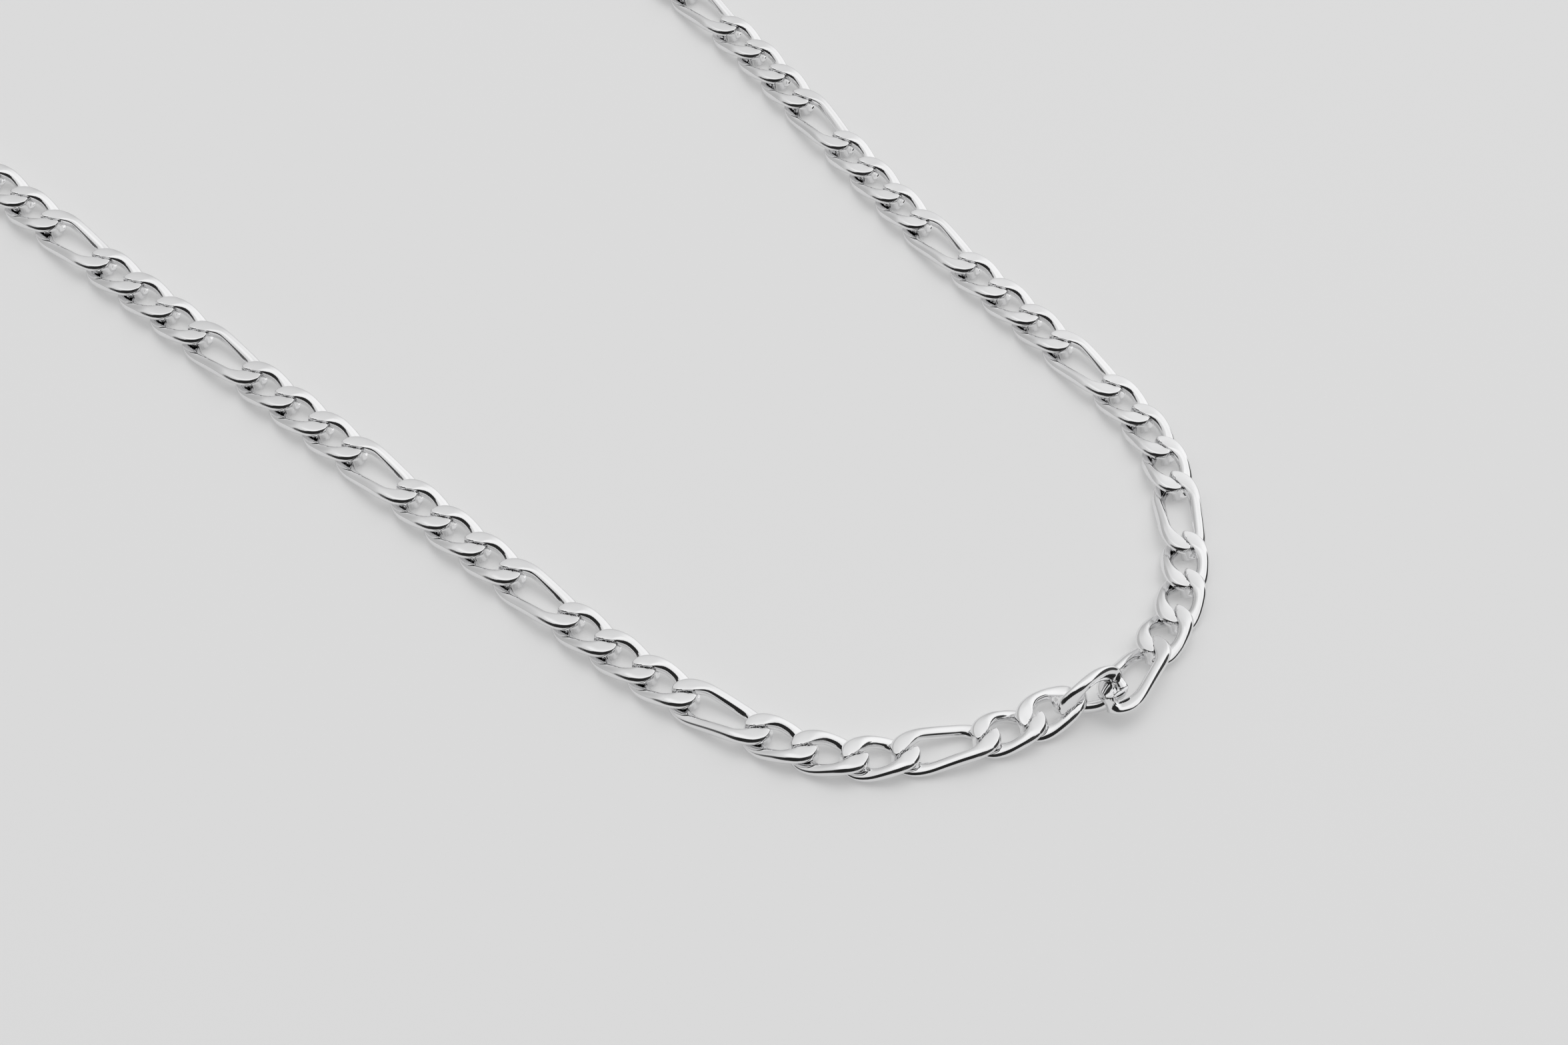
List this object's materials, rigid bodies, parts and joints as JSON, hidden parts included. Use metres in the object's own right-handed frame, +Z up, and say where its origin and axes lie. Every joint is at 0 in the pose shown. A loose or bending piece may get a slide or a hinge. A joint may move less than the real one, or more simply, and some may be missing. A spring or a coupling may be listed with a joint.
{
  "type": "figaro chain",
  "caption": "Closed neck chain of flat twisted curb links, groups of short ones parted by long ones, with a plain oval clasp, lying in a loose loop.",
  "frame": {"origin": "on the surface that the chain lies on, under the middle of its loop's bounding box", "axes": "+Z up from the surface, +Y away from the viewer of the picture, +X to their right"},
  "size_m": [0.1801, 0.1691, 0.005],
  "materials": {
    "link_steel": "polished steel with bright pressed facets",
    "clasp_steel": "polished steel"
  },
  "bodies": {
    "root": {"chain_left": "link_steel", "chain_right": "link_steel", "clasp": "clasp_steel"}
  },
  "joints": []
}
